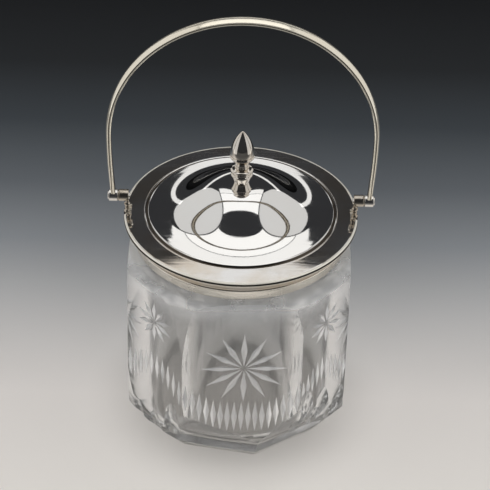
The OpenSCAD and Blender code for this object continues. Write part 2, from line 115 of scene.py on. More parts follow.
def cut_with(piece, cutter, sharp):
    """Takes one piece's shape out of another; the cuts get the cutter's finish."""
    cut = piece.modifiers.new("cut", "BOOLEAN")
    cut.operation = "DIFFERENCE"
    cut.solver = "EXACT"
    cut.object = cutter
    bpy.context.view_layer.update()
    cut_piece = piece.evaluated_get(bpy.context.evaluated_depsgraph_get())
    result = bpy.data.meshes.new_from_object(cut_piece)
    piece.modifiers.clear()
    piece.data = result
    result.shade_smooth()
    result.set_sharp_from_angle(angle=math.radians(sharp))
    bpy.data.objects.remove(cutter)


def shave(mesh, distance, turn, lean):
    """Grinds a flat on the blank: a plane at a distance from the axis that leans out by lean."""
    out = outward(turn)
    everything = mesh.verts[:] + mesh.edges[:] + mesh.faces[:]
    ground = bmesh.ops.bisect_plane(mesh, geom=everything, dist=1e-8, plane_co=out * distance * MM,
                                    plane_no=out - Vector((0, 0, lean)), clear_outer=True)
    rim_edges = [e for e in ground["geom_cut"] if isinstance(e, bmesh.types.BMEdge)]
    bmesh.ops.edgeloop_fill(mesh, edges=rim_edges)


def facet_lean(turn):
    """The foot facets that look out to the sides lean out more than those in front and behind."""
    return SIDE_FOOT_LEAN if abs(math.sin(math.radians(turn))) > SIDEWAYS else FOOT_LEAN


def face_place(turn, distance, z):
    """Stands a cut on an upright face: X along the face, Y up and Z out of it."""
    out = outward(turn)
    along = Vector((0, 0, 1)).cross(out)
    axes = Matrix((along, Vector((0, 0, 1)), out)).transposed().to_4x4()
    return Matrix.Translation((out * distance + Vector((0, 0, z))) * MM) @ axes


def lancet(mesh, place, length, width, depth):
    """A pointed wheel cut, deepest in its middle, that lies along X and is sunk along -Z."""
    over = 1.4
    mouth = [mesh.verts.new(place @ Vector((x * over * MM, y * over * MM, (over - 1) * depth * MM)))
             for x, y in ((length / 2, 0), (0, width / 2), (-length / 2, 0), (0, -width / 2))]
    deep = mesh.verts.new(place @ Vector((0, 0, -depth * MM)))
    sides = [mesh.faces.new(mouth)]
    for k in range(4):
        sides.append(mesh.faces.new((mouth[k], deep, mouth[(k + 1) % 4])))
    for side in sides:
        side.material_index = WHEEL_CUT


def star(mesh, turn, distance, z, ray, count, width, eye=1.2, depth=1.0):
    """A star of pointed rays round a small uncut eye; ray is its radius."""
    for k in range(count):
        spoke = Matrix.Rotation(2 * math.pi * k / count + math.pi / 2, 4, "Z")
        reach = Matrix.Translation(((eye + (ray - eye) / 2) * MM, 0, 0))
        lancet(mesh, face_place(turn, distance, z) @ spoke @ reach, ray - eye, width, depth)


LEAF_Z, LEAF_LEAN, LEAF_STEP = 20.0, 15, 11
LEAF_WHEEL_R, LEAF_EDGE_R, LEAF_DEPTH = 170.0, 5.0, 2.2
LEAF_WHEEL_STEPS, LEAF_EDGE_STEPS = 40, 28
LEAF_BITE, LEAF_RUN_OUT = 1.6, 1.25
NEAR_FACET = 0.5


def leaf_cut(mesh, turn, away):
    """The rounded edge of a large wheel, sunk into the glass above the foot."""
    surface = CORNER_D / math.cos(math.radians(away))
    for facet in FACET_TURNS:
        across_facet = math.cos(math.radians(turn - facet))
        if across_facet > NEAR_FACET:
            surface = min(surface, (FOOT_FLAT + facet_lean(facet) * LEAF_Z) / across_facet)
    place = face_place(turn, surface, LEAF_Z) @ Matrix.Rotation(math.radians(LEAF_LEAN), 4, "X")
    half = math.acos(1 - LEAF_BITE * LEAF_DEPTH / LEAF_WHEEL_R) * LEAF_RUN_OUT
    last = None
    for k in range(LEAF_WHEEL_STEPS + 1):
        a = half * (2 * k / LEAF_WHEEL_STEPS - 1)
        ring = []
        for j in range(LEAF_EDGE_STEPS):
            b = 2 * math.pi * j / LEAF_EDGE_STEPS
            reach = LEAF_WHEEL_R - LEAF_EDGE_R + LEAF_EDGE_R * math.cos(b)
            aside = LEAF_EDGE_R * math.sin(b) * MM
            up = reach * math.sin(a) * MM
            out = (LEAF_WHEEL_R - LEAF_DEPTH - reach * math.cos(a)) * MM
            ring.append(mesh.verts.new(place @ Vector((aside, up, out))))
        if last:
            for j in range(LEAF_EDGE_STEPS):
                n = (j + 1) % LEAF_EDGE_STEPS
                mesh.faces.new((last[j], last[n], ring[n], ring[j]))
        else:
            mesh.faces.new(ring)
        last = ring
    mesh.faces.new(list(reversed(last)))


FLUTE_W, FLUTE_DEPTH = 3.0, 0.7
TIP_LOW, TIP_CLIMB = 46, 21
TOE_LOW, TOE_CLIMB = 25.5, 25
CLIMB_START, CLIMB_RUN = 9, 36


def flute_share(turn):
    """0 at the middle of a wide panel and 1 at the middle of a corner panel."""
    away = min(abs((turn - wide + 180) % 360 - 180) for wide in WIDE_TURNS)
    t = max(0.0, min(1.0, (away - CLIMB_START) / CLIMB_RUN))
    return t * t * (3 - 2 * t)


def flute_row(mesh, turn, distance, left, right, count):
    """A row of upright pointed flutes from one arris of a panel to the other."""
    first = -distance * math.tan(math.radians(left))
    pitch = (distance * math.tan(math.radians(right)) - first) / count
    for k in range(count):
        x = first + pitch * (k + 0.5)
        share = flute_share(turn + math.degrees(math.atan(x / distance)))
        tip, toe = TIP_LOW + TIP_CLIMB * share, TOE_LOW + TOE_CLIMB * share
        place = face_place(turn, distance, (tip + toe) / 2) @ Matrix.Translation((x * MM, 0, 0))
        lancet(mesh, place @ Matrix.Rotation(math.pi / 2, 4, "Z"), tip - toe, FLUTE_W, FLUTE_DEPTH)


def arris(between):
    """Angle from a wide panel's middle to its arris with a corner panel."""
    a = math.radians(between)
    return math.degrees(math.atan((CORNER_D / WIDE_D - math.cos(a)) / math.sin(a)))


blank = bmesh.new()
belly_r0 = BELLY_R - BELLY_CURVE
turn_in = math.degrees(math.asin((SHOULDER_Z - BELLY_Z) / BELLY_CURVE))
foot_in = math.degrees(math.asin(-BELLY_Z / BELLY_CURVE))
shoulder_r = belly_r0 + (BELLY_CURVE - SHOULDER_TURN) * math.cos(math.radians(turn_in))
shoulder_z = BELLY_Z + (BELLY_CURVE - SHOULDER_TURN) * math.sin(math.radians(turn_in))
turned_mesh(blank, [
    (0, 0), *arc(belly_r0, BELLY_Z, BELLY_CURVE, foot_in, turn_in, 24),
    *arc(shoulder_r, shoulder_z, SHOULDER_TURN, turn_in, 90, 10)[1:],
    (NECK_R, shoulder_z + SHOULDER_TURN), (NECK_R, JAR_H), (0, JAR_H)], BLANK_SIDES)
for turn in WIDE_TURNS:
    shave(blank, WIDE_D, turn, 0)
for turn in CORNER_TURNS:
    shave(blank, CORNER_D, turn, 0)
for turn in FACET_TURNS:
    shave(blank, FOOT_FLAT, turn, facet_lean(turn))
    shave(blank, FOOT_FLAT - FOOT_ARRIS, turn, ARRIS_LEAN)

hollows = bmesh.new()
turned_mesh(hollows, [
    (0, GLASS_FLOOR), *arc(INSIDE_R - FLOOR_TURN, GLASS_FLOOR + FLOOR_TURN, FLOOR_TURN, -90, 0, 16),
    (INSIDE_R, SHOULDER_Z), (MOUTH_R, SHOULDER_Z + SHOULDER_TURN),
    (MOUTH_R, JAR_H + BITE), (0, JAR_H + BITE)], HOLLOW_SIDES)
turned_mesh(hollows, [(0, -BITE), (HOLLOW_R, -BITE), (HOLLOW_R, HOLLOW_DEPTH), (0, HOLLOW_DEPTH)])
for face in hollows.faces:
    face.material_index = FIRE_POLISHED_AND_SHADED

WIDE_STAR_Z, WIDE_RAY, WIDE_RAYS, WIDE_RAY_W = 68.0, 22.5, 12, 3.3
CORNER_STAR_Z, CORNER_RAY, CORNER_RAYS, CORNER_RAY_W = 87.5, 12.0, 10, 3.0
WIDE_FLUTES, CORNER_FLUTES = 17, 10
lancets = bmesh.new()
for i in range(4):
    wide, corner = WIDE_TURNS[i], CORNER_TURNS[i]
    after = WIDE_TURNS[(i + 1) % 4] + (360 if i == 3 else 0)
    before = wide - CORNER_TURNS[i - 1] + (360 if i == 0 else 0)
    star(lancets, wide, WIDE_D, WIDE_STAR_Z, WIDE_RAY, WIDE_RAYS, WIDE_RAY_W)
    star(lancets, corner, CORNER_D, CORNER_STAR_Z, CORNER_RAY, CORNER_RAYS, CORNER_RAY_W)
    flute_row(lancets, wide, WIDE_D, arris(before), arris(corner - wide), WIDE_FLUTES)
    flute_row(lancets, corner, CORNER_D, corner - wide - arris(corner - wide),
              after - corner - arris(after - corner), CORNER_FLUTES)
    for k in (-1, 0, 1):
        leaf_cut(hollows, corner + LEAF_STEP * k, LEAF_STEP * k)
for face in hollows.faces:
    if face.material_index == POLISHED:
        face.material_index = LEAF_CUT


def material(name):
    """A new material; returns the material, its shader and its node tree."""
    made = bpy.data.materials.new(name)
    made.use_nodes = True
    return made, made.node_tree.nodes["Principled BSDF"], made.node_tree


def node(tree, kind, inputs=None, **settings):
    """Adds a node, sets its fields, and fills or links its inputs."""
    added = tree.nodes.new(kind)
    for field, value in settings.items():
        setattr(added, field, value)
    for socket, value in (inputs or {}).items():
        if isinstance(value, bpy.types.NodeSocket):
            tree.links.new(value, added.inputs[socket])
        else:
            added.inputs[socket].default_value = value
    return added


LEAD_GLASS_IOR = 1.53
HAZE_FROM, HAZE_TO = 0.097, 0.106


def glass_finish(name, colour, roughness, clear_share, haze=0.0):
    """Lead glass that lets the lamps' light through; haze makes it dull and milky under the collar."""
    made, shader, tree = material(name)
    shader.inputs["Base Color"].default_value = (*colour, 1)
    shader.inputs["Transmission Weight"].default_value = clear_share
    shader.inputs["IOR"].default_value = LEAD_GLASS_IOR
    place = node(tree, "ShaderNodeTexCoord").outputs["Object"]
    polish = node(tree, "ShaderNodeTexNoise", {"Vector": place, "Scale": 60.0, "Detail": 3.0})
    spread = node(tree, "ShaderNodeMapRange", {"Value": polish.outputs["Fac"], "To Min": roughness[0],
                                               "To Max": roughness[1]})
    dullness = spread.outputs["Result"]
    if haze > 0:
        height = node(tree, "ShaderNodeSeparateXYZ", {"Vector": place}).outputs["Z"]
        dull = node(tree, "ShaderNodeMapRange", {"Value": height, "From Min": HAZE_FROM,
                                                 "From Max": HAZE_TO, "To Min": 0.0, "To Max": haze})
        milky = node(tree, "ShaderNodeMapRange", {"Value": height, "From Min": HAZE_FROM,
                                                  "From Max": HAZE_TO, "To Min": clear_share,
                                                  "To Max": clear_share - haze})
        tree.links.new(milky.outputs["Result"], shader.inputs["Transmission Weight"])
        dullness = node(tree, "ShaderNodeMath", {0: dullness, 1: dull.outputs["Result"]},
                        operation="ADD").outputs["Value"]
    tree.links.new(dullness, shader.inputs["Roughness"])
    ripple = node(tree, "ShaderNodeTexNoise", {"Vector": place, "Scale": 28.0, "Detail": 1.5})
    bump = node(tree, "ShaderNodeBump", {"Height": ripple.outputs["Fac"], "Strength": 0.06,
                                         "Distance": 0.0006})
    tree.links.new(bump.outputs["Normal"], shader.inputs["Normal"])
    rays = node(tree, "ShaderNodeLightPath").outputs
    clear = node(tree, "ShaderNodeBsdfTransparent", {"Color": (0.93, 0.935, 0.93, 1)})
    lit = node(tree, "ShaderNodeMixShader", {0: rays["Is Shadow Ray"], 1: shader.outputs["BSDF"],
                                             2: clear.outputs["BSDF"]})
    tree.links.new(lit.outputs["Shader"], tree.nodes["Material Output"].inputs["Surface"])
    return made


polished_glass = glass_finish("polished_lead_glass", (0.985, 0.99, 0.985), (0.0, 0.03),
                              clear_share=1.0, haze=0.26)
wheel_cut_glass = glass_finish("wheel_cut_glass", (0.98, 0.975, 0.97), (0.04, 0.09), clear_share=0.68)
leaf_cut_glass = glass_finish("leaf_cut_glass", (0.95, 0.945, 0.93), (0.02, 0.05), clear_share=0.88)
# The inside surfaces get a grey tint: painted shade that darkens the view through the jar, on
# fire-polished glass.
inside_glass_painted_shade = glass_finish("fire_polished_inside_painted_shade", (0.66, 0.65, 0.645), (0.13, 0.18),
                                   clear_share=1.0)
glass_body = mesh_piece("cut_glass_body", blank, GLASS_CREASE)
cutters = [mesh_piece("glass_cutter", part) for part in (hollows, lancets)]
for piece in (glass_body, *cutters):
    piece.data.materials.append(polished_glass)
    piece.data.materials.append(wheel_cut_glass)
    piece.data.materials.append(inside_glass_painted_shade)
    piece.data.materials.append(leaf_cut_glass)
for cutter in cutters:
    cut_with(glass_body, cutter, GLASS_CREASE)
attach(glass_body, "jar")
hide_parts("glass_jar")


# ---------------------------------------------------------------- Plaster bed
# The ring of plaster that fills the gap between the glass neck and the metal collar and
# holds the two together.

def finish_with(piece, made):
    """Puts one material on a piece."""
    piece.data.materials.clear()
    piece.data.materials.append(made)


def set_plaster():
    """Chalky off-white plaster with a fine grain."""
    made, shader, tree = material("set_plaster")
    place = node(tree, "ShaderNodeTexCoord").outputs["Object"]
    grain = node(tree, "ShaderNodeTexNoise", {"Vector": place, "Scale": 900.0, "Detail": 6.0})
    shade = node(tree, "ShaderNodeValToRGB", {"Fac": grain.outputs["Fac"]})
    shade.color_ramp.elements[0].color = (0.62, 0.59, 0.52, 1)
    shade.color_ramp.elements[1].color = (0.80, 0.78, 0.72, 1)
    tree.links.new(shade.outputs["Color"], shader.inputs["Base Color"])
    shader.inputs["Roughness"].default_value = 0.9
    bump = node(tree, "ShaderNodeBump", {"Height": grain.outputs["Fac"], "Strength": 0.5,
                                         "Distance": 0.0002})
    tree.links.new(bump.outputs["Normal"], shader.inputs["Normal"])
    return made


finish_with(nodes["plaster_bed"], set_plaster())


# ---------------------------------------------------------------- Collar
# Two spun and soldered rings of plated metal, cemented on the neck: a plain band with a bead
# below, and above it a hollow moulding that spreads to the flat rim under the lid.

BAND_TOP, COLLAR_UNDER, BEAD_Z = 118.2, 122.8, 116.5
BAND_R, COVE_TOP_R, RIM_R = 55.5, 59.4, 60.0
COVE_STEPS = 12

# The material slots of a plated piece, in order: its plate, a copy painted darker as shade, and a
# near-black painted shadow.
BRIGHT, SHADED, PAINTED_SHADOW = range(3)


def rounded(points, steps=4):
    """A turning profile in (radius, height, corner radius), with its corners rounded."""
    outline = []
    count = len(points)
    most = 0.48
    for i, (r, z, corner) in enumerate(points):
        here = Vector((r, z))
        if corner <= 0:
            outline.append(here)
            continue
        to_last = Vector(points[i - 1][:2]) - here
        to_next = Vector(points[(i + 1) % count][:2]) - here
        half = to_last.angle(to_next) / 2
        run = min(corner / math.tan(half), most * to_last.length, most * to_next.length)
        radius = run * math.tan(half)
        bisector = (to_last.normalized() + to_next.normalized()).normalized()
        middle = here + bisector * radius / math.sin(half)
        start = here + to_last.normalized() * run - middle
        end = here + to_next.normalized() * run - middle
        sweep = start.angle(end)
        for k in range(steps + 1):
            share = k / steps
            a = math.sin((1 - share) * sweep) / math.sin(sweep)
            b = math.sin(share * sweep) / math.sin(sweep)
            outline.append(middle + start * a + end * b)
    return [(p.x, p.y) for p in outline]


def turned(name, points, around=160, place=Matrix.Identity(4), steps=4, sharp=32):
    """A turned piece from a profile with rounded corners."""
    return mesh_piece(name, turned_mesh(bmesh.new(), rounded(points, steps), around, place), sharp)


def silver_plate(name, colour, roughness, spread, scratch, tarnish=0.0, metal=1.0):
    """Polished silver plate: a warm white metal with wiping marks and a little tarnish."""
    made, shader, tree = material(name)
    place = node(tree, "ShaderNodeTexCoord").outputs["Object"]
    shader.inputs["Metallic"].default_value = metal
    cloud = node(tree, "ShaderNodeTexNoise", {"Vector": place, "Scale": 35.0, "Detail": 5.0,
                                              "Roughness": 0.6})
    tarnished = [c * (1 - tarnish * k) for c, k in zip(colour, (0.5, 0.8, 1.2))]
    shade = node(tree, "ShaderNodeValToRGB", {"Fac": cloud.outputs["Fac"]})
    shade.color_ramp.elements[0].position = 0.35
    shade.color_ramp.elements[0].color = (*tarnished, 1)
    shade.color_ramp.elements[1].position = 0.62
    shade.color_ramp.elements[1].color = (*colour, 1)
    tree.links.new(shade.outputs["Color"], shader.inputs["Base Color"])
    wipe = node(tree, "ShaderNodeMapping", {"Vector": place, "Scale": (40.0, 700.0, 400.0)})
    marks = node(tree, "ShaderNodeTexNoise", {"Vector": wipe.outputs["Vector"], "Scale": 1.0,
                                              "Detail": 4.0})
    haze = node(tree, "ShaderNodeMapRange", {"Value": marks.outputs["Fac"], "From Min": 0.35,
                                             "From Max": 0.7, "To Min": roughness,
                                             "To Max": roughness + spread})
    tree.links.new(haze.outputs["Result"], shader.inputs["Roughness"])
    bump = node(tree, "ShaderNodeBump", {"Height": marks.outputs["Fac"], "Strength": scratch,
                                         "Distance": 0.00002})
    tree.links.new(bump.outputs["Normal"], shader.inputs["Normal"])
    return made


collar_silver = silver_plate("collar_silver_plate", (0.96, 0.91, 0.82), roughness=0.18, spread=0.10,
                             scratch=0.35, tarnish=0.06, metal=0.8)
# A darker copy of the plate for the band above the bead and the hollow cove: painted shade, with some
# tarnish mottling.
cove_painted_shade = silver_plate("cove_silver_plate", (0.58, 0.545, 0.49), roughness=0.10, spread=0.12,
                           scratch=0.6, tarnish=0.3)
# A near-black plate for the top of the rim under the lid's roll: the painted shadow of the gap.
gap_painted_shadow = silver_plate("gap_painted_shadow", (0.05, 0.045, 0.04), roughness=0.40, spread=0.10,
                           scratch=0.3, tarnish=0.2)

band = turned("collar_band_ring", [
    (53.0, 111.0, 0.3), (54.2, 111.0, 0.3), (54.75, 111.3, 0.4), (55.2, 115.2, 1),
    (55.55, BEAD_Z - 0.2, 0.2), (55.55, BEAD_Z + 0.2, 0.2), (55.2, BEAD_Z + 0.5, 0.2),
    (BAND_R, BAND_TOP, 0.1), (54.25, BAND_TOP, 0), (54.25, COLLAR_UNDER, 0), (53.0, COLLAR_UNDER, 0)])
finish_with(band, collar_silver)
band.data.materials.append(cove_painted_shade)
# Faces above the bead take the plate painted darker as shade.
for face in band.data.polygons:
    if face.center.z > (BEAD_Z + 0.3) * MM:
        face.material_index = SHADED
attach(band, "jar")
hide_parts("collar_band")

cove = []
for k in range(COVE_STEPS + 1):
    a = math.radians(180 - 90 * k / COVE_STEPS)
    cove.append((BAND_R + (COVE_TOP_R - BAND_R) * (1 + math.cos(a)),
                 BAND_TOP + (COLLAR_UNDER - BAND_TOP) * math.sin(a), 0))
rim = turned("collar_rim_ring", [
    (54.3, BAND_TOP, 0), *cove[:-1], (59.3, COLLAR_UNDER, 0.2), (RIM_R, COLLAR_UNDER + 0.05, 0.4),
    (RIM_R, 123.55, 0.35), (59.2, 123.6, 0.2), (57.6, 124.0, 0), (47.0, 124.0, 0.1),
    (47.0, COLLAR_UNDER, 0.1), (54.3, COLLAR_UNDER, 0)])
finish_with(rim, collar_silver)
rim.data.materials.append(cove_painted_shade)
rim.data.materials.append(gap_painted_shadow)
COVE_UNDER, COVE_FROM_R = COLLAR_UNDER - 0.2, 55.4
GAP_FROM_Z, GAP_FROM_R = 123.3, 59.1
# Faces of the cove take the plate painted darker as shade. Faces on top of the rim, under the lid's
# roll, take the painted shadow of the gap.
for face in rim.data.polygons:
    r, z = face.center.to_2d().length / MM, face.center.z / MM
    if BAND_TOP < z < COVE_UNDER and r > COVE_FROM_R:
        face.material_index = SHADED
    elif z > GAP_FROM_Z and r > GAP_FROM_R:
        face.material_index = PAINTED_SHADOW
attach(rim, "jar")
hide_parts("collar_rim")


# ---------------------------------------------------------------- Handle posts and pivots
# Each post is a small turned baluster that stands on the rim in a notch of the lid and
# carries a barrel. A round-headed pin runs through both barrels, with a washer between them.

PIVOT_Z, POST_X = 133.9, 58.3
POST_SIDES, BARREL_SIDES = 48, 64
BARREL_X, BARREL_LEN, BARREL_R = 57.4, 5.0, 3.1
KNUCKLE_X, KNUCKLE_LEN = 62.95, 4.5
POST_BORE_R, KNUCKLE_BORE_R = 1.25, 1.27
post_silver = silver_plate("post_silver_plate", (0.62, 0.58, 0.52), roughness=0.14, spread=0.10,
                           scratch=0.1, tarnish=0.3)
bright_pin = silver_plate("pin_silver_plate", (0.92, 0.89, 0.84), roughness=0.08, spread=0.08,
                          scratch=0.2, tarnish=0.05)
raw_nickel = silver_plate("bare_nickel_silver", (0.66, 0.61, 0.52), roughness=0.28, spread=0.15,
                          scratch=0.5, tarnish=0.2)


def across(side, x):
    """Lays a turning along X, outward from x on the given side, at the pivots' height."""
    tilt = Matrix.Rotation(math.radians(90 * side), 4, "Y")
    return Matrix.Translation((side * x * MM, 0, PIVOT_Z * MM)) @ tilt


def barrel_profile(length, bore_r):
    """A short tube with softened outer edges."""
    return [(bore_r, 0, 0.05), (BARREL_R, 0, 0.35), (BARREL_R, length, 0.35), (bore_r, length, 0.05)]


for side, hand in ((-1, "left"), (1, "right")):
    post_mesh = bmesh.new()
    turned_mesh(post_mesh, rounded([
        (0, 124.0, 0), (1.65, 124.0, 0.1), (1.65, 124.65, 0.25), (1.05, 125.3, 0.3), (1.3, 126.9, 1.2),
        (1.0, 127.7, 0.3), (1.65, 128.3, 0.45), (1.65, 129.1, 0.45), (0.95, 129.7, 0.3),
        (0.9, 131.4, 0), (0, 131.4, 0)]), POST_SIDES, Matrix.Translation((side * POST_X * MM, 0, 0)))
    turned_mesh(post_mesh, rounded(barrel_profile(BARREL_LEN, POST_BORE_R)), BARREL_SIDES,
                across(side, BARREL_X))
    post = mesh_piece(hand + "_post_and_barrel", post_mesh)
    finish_with(post, post_silver)
    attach(post, "jar")
    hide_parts(hand + "_handle_post")

    pin = turned(hand + "_pivot_rivet", [
        (0, -0.55, 0), (1.5, -0.55, 0.2), (1.8, -0.05, 0), (1.2, -0.05, 0), (1.2, 10.15, 0),
        (2.3, 10.15, 0.1), (2.2, 10.6, 1.2), (1.4, 10.95, 1.5), (0, 11.05, 0)],
        POST_SIDES, across(side, BARREL_X), steps=6)
    finish_with(pin, bright_pin)
    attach(pin, "jar")
    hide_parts(hand + "_pivot_pin")

    finish_with(nodes[hand + "_pivot_washer"], raw_nickel)


# ---------------------------------------------------------------- Bail handle
# One drawn band, flat inside and domed outside, bent to a tall arch. Its ends narrow to a
# tongue and are brazed round the two barrels that turn on the pins.

ARCH_R, ARCH_RISE = 67.1, 37.8
LEG_DRAW = ARCH_R - KNUCKLE_X - KNUCKLE_LEN / 2
ARCH_Z = PIVOT_Z + ARCH_RISE
LEG_R = (ARCH_RISE ** 2 + LEG_DRAW ** 2) / (2 * LEG_DRAW)
LEG_STEPS, ARCH_STEPS = 12, 96
HANDLE_W, HANDLE_T, HANDLE_EDGE = 6.4, 2.5, 1.5
TONGUE_W, TONGUE_TOP, TONGUE_RUN = 4.6, 1.5, 11
DOME_SAG = HANDLE_T - HANDLE_EDGE
SECTION_R = ((HANDLE_W / 2) ** 2 + DOME_SAG ** 2) / (2 * DOME_SAG)
DOME_SHARE, EDGE_DROP, SIDE_LINE, EDGE_LINE = 0.94, 0.3, 0.45, 2.75
HEEL_RISE, HEEL_RUN = 0.35, 0.4
DARK_STRIPS = (11, 14, 16, 19)
HANDLE_CREASE = 40


def handle_path():
    """Points of the band's middle line with outward directions, from the right barrel to the left."""
    steps = []
    leg_turn = math.asin(ARCH_RISE / LEG_R)
    for k in range(LEG_STEPS + 1):
        a = -leg_turn * (1 - k / LEG_STEPS)
        steps.append((ARCH_R - LEG_R + LEG_R * math.cos(a), ARCH_Z + LEG_R * math.sin(a), a))
    for k in range(1, ARCH_STEPS + 1):
        a = math.pi / 2 * k / ARCH_STEPS
        steps.append((ARCH_R * math.cos(a), ARCH_Z + ARCH_R * math.sin(a), a))
    right = [(x, z, math.cos(a), math.sin(a)) for x, z, a in steps]
    return right + [(-x, z, -u, v) for x, z, u, v in reversed(right[:-1])]


def band_section(width, steps=10):
    """Half-domed section as (out, across) in millimetres, with softened edges and edge lines that bound
    the strips painted dark as shade.
    """
    half = width / 2
    reach = math.asin(half / SECTION_R) * DOME_SHARE
    dome = [(HANDLE_T / 2 - SECTION_R + SECTION_R * math.cos(t), SECTION_R * math.sin(t))
            for t in (reach * (2 * k / steps - 1) for k in range(steps + 1))]
    edge = dome[-1][0]
    under = -HANDLE_T / 2
    flank = [(edge - EDGE_DROP, half), (edge - EDGE_DROP - SIDE_LINE, half), (under + HEEL_RISE, half),
             (under, half - HEEL_RUN), (under, half - EDGE_LINE)]
    return dome + flank + [(out, -y) for out, y in reversed(flank)]


band_mesh = bmesh.new()
last = None
for x, z, u, v in handle_path():
    near_end = max(0.0, min(1.0, (z - PIVOT_Z - TONGUE_TOP) / TONGUE_RUN))
    width = TONGUE_W + (HANDLE_W - TONGUE_W) * near_end * near_end * (3 - 2 * near_end)
    ring = []
    for out, y in band_section(width):
        ring.append(band_mesh.verts.new(Vector(((x + out * u) * MM, y * MM, (z + out * v) * MM))))
    if last:
        for k in range(len(ring)):
            n = (k + 1) % len(ring)
            strip = band_mesh.faces.new((last[k], last[n], ring[n], ring[k]))
            strip.material_index = SHADED if k in DARK_STRIPS else BRIGHT
    else:
        band_mesh.faces.new(ring)
    last = ring
band_mesh.faces.new(list(reversed(last)))
handle_silver = silver_plate("handle_silver_plate", (0.98, 0.915, 0.77), roughness=0.10, spread=0.08,
                             scratch=0.3, tarnish=0.06, metal=0.75)
# Near-black plate for the DARK_STRIPS along the band's sides and underside: painted dark lines of shade.
painted_shade_lines = silver_plate("handle_painted_shade_lines", (0.12, 0.10, 0.08), roughness=0.30, spread=0.10,
                            scratch=0.4, tarnish=0.3)
bail = mesh_piece("bail_handle_band", band_mesh, HANDLE_CREASE)
bail.data.materials.append(handle_silver)
bail.data.materials.append(painted_shade_lines)
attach(bail, "handle")
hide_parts("bail_handle")

for side, hand in ((-1, "left"), (1, "right")):
    knuckle = turned(hand + "_handle_knuckle", barrel_profile(KNUCKLE_LEN, KNUCKLE_BORE_R),
                     BARREL_SIDES, across(side, KNUCKLE_X))
    finish_with(knuckle, bright_pin)
    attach(knuckle, "handle")
    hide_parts(hand + "_handle_barrel")


# ---------------------------------------------------------------- Lid
# A spun disc of plated metal: a flat flange with a rolled edge, a fine step, and a low
# pointed dome. It is notched at the two posts and lies loose on the collar's rim.

DOME_R, DOME_FOOT, LID_METAL = 47.2, 126.6, 1
DOME_H, DOME_STEEP, DOME_BROW, DOME_SPREAD, CROWN_R = 17.4, 0.8, 0.93, 0.84, 4.6
DOME_STEPS, UNDER_STEPS, DRAW_IN = 60, 40, 0.4
LID_SIDES, LID_CREASE = 256, 38
STUD_R = 1.55


def dome_z(r):
    """Height of the dome's outside at radius r: a flat crown, steep sides and a spreading foot."""
    rise = max(0.0, min(1.0, (DOME_BROW - r / DOME_R) / DOME_SPREAD))
    return DOME_FOOT + DOME_H * (DOME_STEEP * (rise - math.sin(2 * math.pi * rise) / (2 * math.pi))
                                 + (1 - DOME_STEEP) * (1 - (r / DOME_R) ** 2))


def painted_edge_highlight(name):
    """A pale, half-metallic plate for the lid's rolled edge: a painted highlight along it, mottled."""
    made, shader, tree = material(name)
    place = node(tree, "ShaderNodeTexCoord").outputs["Object"]
    edge_mottle = node(tree, "ShaderNodeTexNoise", {"Vector": place, "Scale": 120.0, "Detail": 4.0})
    shade = node(tree, "ShaderNodeValToRGB", {"Fac": edge_mottle.outputs["Fac"]})
    shade.color_ramp.elements[0].color = (0.74, 0.70, 0.60, 1)
    shade.color_ramp.elements[1].color = (0.98, 0.95, 0.87, 1)
    tree.links.new(shade.outputs["Color"], shader.inputs["Base Color"])
    shader.inputs["Metallic"].default_value = 0.35
    shader.inputs["Roughness"].default_value = 0.22
    return made


CROWN_Z = dome_z(CROWN_R)
outside = [(r, dome_z(r), 0)
           for r in (DOME_R + (CROWN_R - DOME_R) * k / DOME_STEPS for k in range(1, DOME_STEPS + 1))]
inside = [(r - DRAW_IN * (r / DOME_R), dome_z(r) - LID_METAL, 0)
          for r in (CROWN_R + (DOME_R - CROWN_R) * k / UNDER_STEPS for k in range(UNDER_STEPS + 1))]
lid_profile = [
    (59.5, 124.0, 0.3), (60.0, 124.5, 0.45), (59.5, 125.0, 0.35), (58.9, 124.98, 0.15),
    (58.5, 125.12, 0.3), (58.0, 125.16, 0), (50.0, 125.81, 0), (49.6, 125.84, 0),
    (49.3, 126.05, 0.2), (48.9, 125.86, 0.1), (48.55, 125.5, 0.12), (47.9, 125.55, 0.12),
    (47.45, 126.5, 0.35), (46.9, 126.68, 0.3),
    *outside[1:],
    (STUD_R, CROWN_Z, 0), (STUD_R, CROWN_Z - LID_METAL, 0), *inside[:-1],
    (46.7, 125.2, 0.5), (57.0, 124.25, 0), (57.0, 124.0, 0)]
lid = turned("domed_lid", lid_profile, LID_SIDES, steps=5, sharp=LID_CREASE)

NOTCH_X, NOTCH_Z, NOTCH_LEN, NOTCH_W = 61, 125.5, 10, 8.5
cutter_mesh = bmesh.new()
for side in (-1, 1):
    notch_place = Matrix.Translation((side * NOTCH_X * MM, 0, NOTCH_Z * MM))
    notch_size = Matrix.Diagonal((NOTCH_LEN * MM, NOTCH_W * MM, NOTCH_LEN * MM, 1))
    bmesh.ops.create_cube(cutter_mesh, size=1, matrix=notch_place @ notch_size)
cutter = mesh_piece("notch_cutter", cutter_mesh)
cut_with(lid, cutter, LID_CREASE)

lid_silver = silver_plate("lid_silver_plate", (0.93, 0.915, 0.885), roughness=0.035, spread=0.05,
                          scratch=0.22, tarnish=0.03)
# A near-black plate for the step round the foot of the dome: a dark line.
step_dark_line = silver_plate("step_dark_line", (0.14, 0.12, 0.10), roughness=0.30, spread=0.10,
                            scratch=0.4, tarnish=0.2)
# A darker copy of the lid's plate for the flange's upper face: painted shade, with more wiping marks and
# tarnish.
flange_painted_darker = silver_plate("flange_silver_plate", (0.76, 0.745, 0.725), roughness=0.03, spread=0.07,
                             scratch=0.4, tarnish=0.25, metal=0.975)
finish_with(lid, lid_silver)
lid.data.materials.append(step_dark_line)
lid.data.materials.append(flange_painted_darker)
